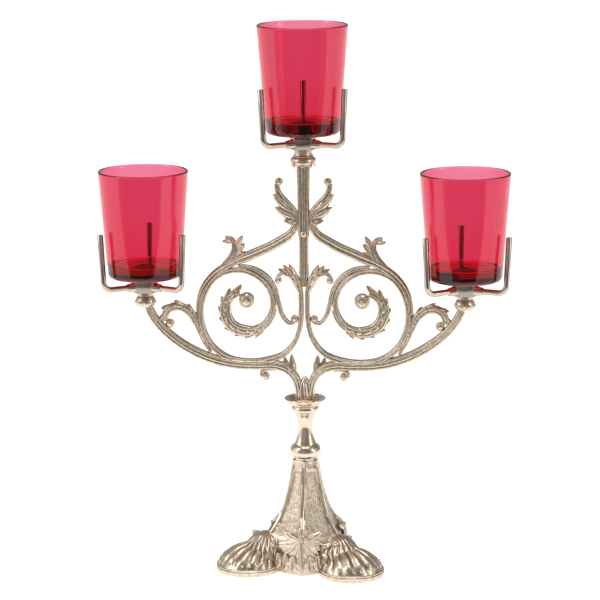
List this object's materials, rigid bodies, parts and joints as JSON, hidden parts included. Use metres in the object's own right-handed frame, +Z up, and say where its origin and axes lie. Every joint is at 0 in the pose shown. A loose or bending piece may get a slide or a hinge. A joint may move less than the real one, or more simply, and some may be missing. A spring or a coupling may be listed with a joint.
{
  "type": "votive candelabra",
  "caption": "Branched cast-brass table candelabra: openwork scroll frame on a trefoil foot, with wire cradles holding tapered ruby votive glasses.",
  "frame": {"origin": "on the upright's axis, in the plane that the foot stands on", "axes": "+X along the arms to the right as seen from the front, -Y to the front, +Z up"},
  "size_m": [0.2917, 0.115, 0.3878],
  "materials": {
    "cast_brass": "satin cast",
    "turned_brass": "polished",
    "cradle_brass": "polished",
    "steel": "machined",
    "ruby_glass": "clear, gloss"
  },
  "bodies": {
    "stand": {"foot": "cast_brass", "foot_nut": "steel", "foot_washer": "steel", "tie_rod": "steel", "turned_stem": "turned_brass", "drip_collar": "turned_brass", "arm_socket": "cast_brass", "center_upright": "cast_brass", "top_capital": "cast_brass", "left_main_arm": "cast_brass", "left_spiral_scroll": "cast_brass", "left_upper_scroll": "cast_brass", "left_inner_scroll": "cast_brass", "left_side_scroll": "cast_brass", "left_drop_curl": "cast_brass", "left_crest_leaf": "cast_brass", "left_arm_capital": "cast_brass", "right_main_arm": "cast_brass", "right_spiral_scroll": "cast_brass", "right_upper_scroll": "cast_brass", "right_inner_scroll": "cast_brass", "right_side_scroll": "cast_brass", "right_drop_curl": "cast_brass", "right_crest_leaf": "cast_brass", "right_arm_capital": "cast_brass", "left_cup_hub": "cradle_brass", "left_cup_stud": "steel", "left_cup_wire_front_right": "cradle_brass", "left_cup_wire_front_left": "cradle_brass", "left_cup_wire_back": "cradle_brass", "top_cup_hub": "cradle_brass", "top_cup_stud": "steel", "top_cup_wire_front_right": "cradle_brass", "top_cup_wire_front_left": "cradle_brass", "top_cup_wire_back": "cradle_brass", "right_cup_hub": "cradle_brass", "right_cup_stud": "steel", "right_cup_wire_front_right": "cradle_brass", "right_cup_wire_front_left": "cradle_brass", "right_cup_wire_back": "cradle_brass"},
    "left_glass": {"left_votive_glass": "ruby_glass"},
    "top_glass": {"top_votive_glass": "ruby_glass"},
    "right_glass": {"right_votive_glass": "ruby_glass"}
  },
  "joints": [
    {"name": "left_glass_lift", "type": "slide", "parent": "stand", "child": "left_glass", "axis": [0, 0, 1], "range_m": [0, 0.08]},
    {"name": "top_glass_lift", "type": "slide", "parent": "stand", "child": "top_glass", "axis": [0, 0, 1], "range_m": [0, 0.08]},
    {"name": "right_glass_lift", "type": "slide", "parent": "stand", "child": "right_glass", "axis": [0, 0, 1], "range_m": [0, 0.08]}
  ]
}
